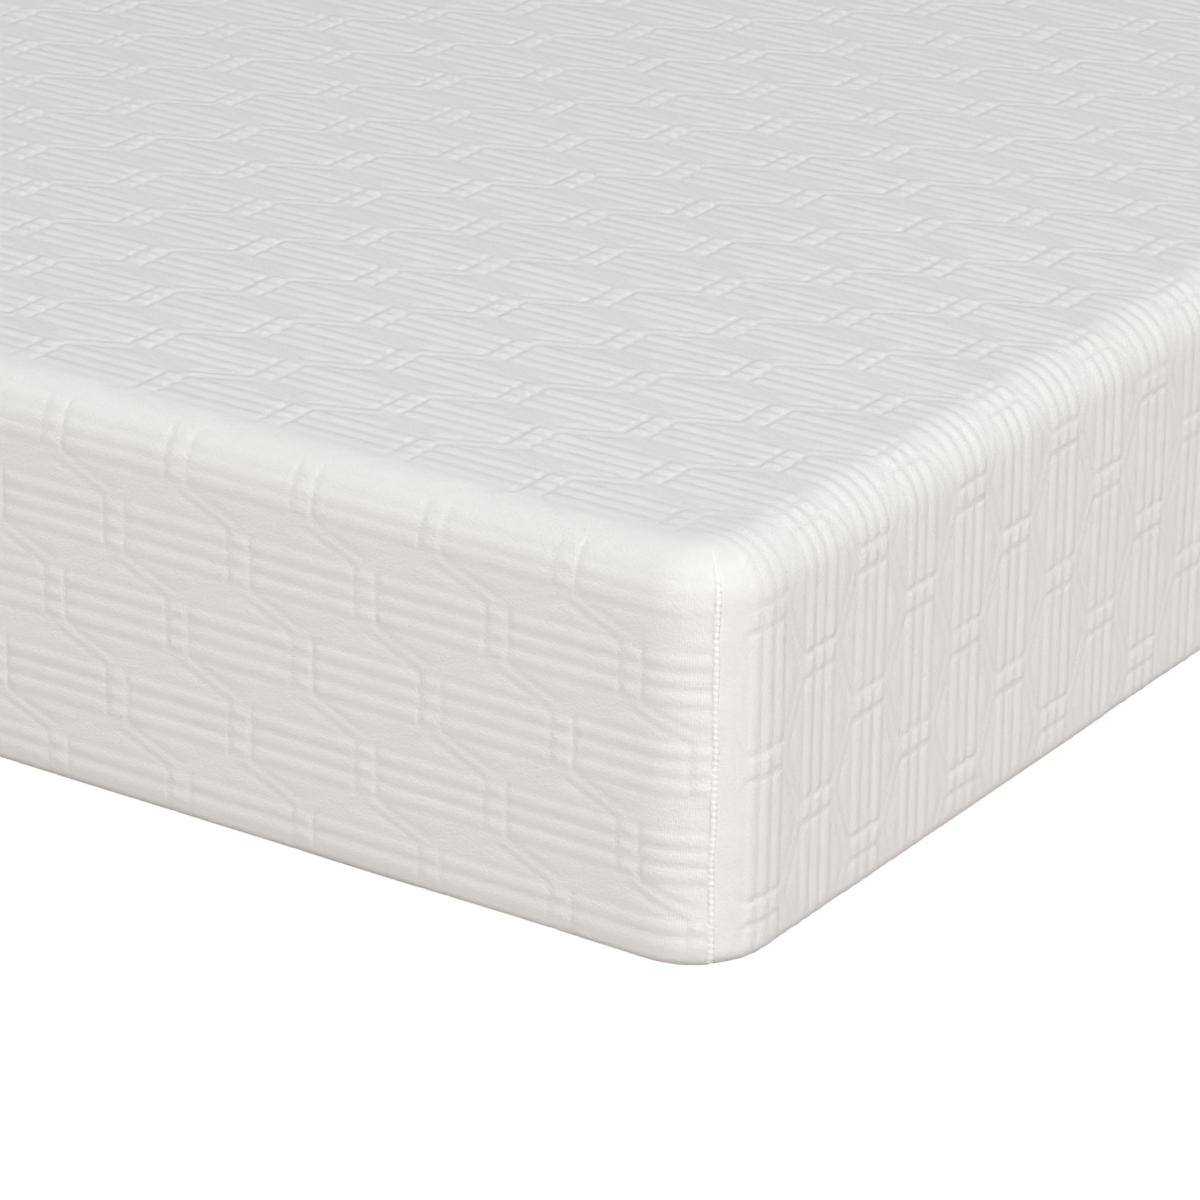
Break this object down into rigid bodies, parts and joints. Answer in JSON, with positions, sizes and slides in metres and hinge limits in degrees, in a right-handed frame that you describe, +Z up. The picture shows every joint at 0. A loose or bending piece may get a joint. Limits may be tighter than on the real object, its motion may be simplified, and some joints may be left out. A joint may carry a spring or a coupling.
{
  "type": "memory foam mattress",
  "caption": "Low rectangular memory foam mattress with rounded corners, a soft top edge, a ribbed honeycomb knit cover, raised corner seams and a zip at the head.",
  "frame": {"origin": "middle of the base, on the surface that the mattress lies on", "axes": "+Z up out of the sleeping surface, +Y along the length towards the head end with the zip, +X across the width"},
  "size_m": [0.991, 1.905, 0.203],
  "materials": {
    "cover_knit": "matte jacquard knit with raised ribs",
    "seam_thread": "matte bound seam",
    "base_cloth": "matte non-slip woven cloth",
    "sock_knit": "matte fine knit",
    "memory_foam": "matte open-cell foam",
    "transition_foam": "matte open-cell foam",
    "support_foam": "matte open-cell foam",
    "adhesive": "dull sprayed film",
    "zip_tape": "matte woven tape",
    "zip_nylon": "satin nylon",
    "zip_metal": "satin nickel plate",
    "label_satin": "smooth satin, blank"
  },
  "bodies": {
    "mattress": {"support_foam": "support_foam", "transition_foam": "transition_foam", "memory_foam": "memory_foam", "adhesive_film_lower": "adhesive", "adhesive_film_upper": "adhesive", "fire_sock_sleeve": "sock_knit", "fire_sock_end_head": "sock_knit", "fire_sock_end_foot": "sock_knit", "fire_sock_seam_head": "seam_thread", "fire_sock_seam_foot": "seam_thread", "cover_top_border": "cover_knit", "cover_head_strip": "cover_knit", "corner_seam_foot_left": "seam_thread", "corner_seam_foot_right": "seam_thread", "corner_seam_head_left": "seam_thread", "corner_seam_head_right": "seam_thread", "base_seam": "seam_thread", "base_panel": "base_cloth", "care_label": "label_satin", "zip_tape_upper": "zip_tape", "zip_tape_lower": "zip_tape", "zip_coil_upper": "zip_nylon", "zip_coil_lower": "zip_nylon", "zip_end_stops": "zip_metal"},
    "zip_slider": {"zip_slider_body": "zip_metal"},
    "zip_pull": {"zip_pull_tab": "zip_metal"}
  },
  "joints": [
    {"name": "zip_slide", "type": "slide", "parent": "mattress", "child": "zip_slider", "axis": [-1, 0, 0], "range_m": [0, 0.836]},
    {"name": "pull_swing", "type": "hinge", "parent": "zip_slider", "child": "zip_pull", "pos_m": [0.4195, 0.95095, 0.028], "axis": [0, 0, -1], "range_deg": [0, 180]}
  ]
}
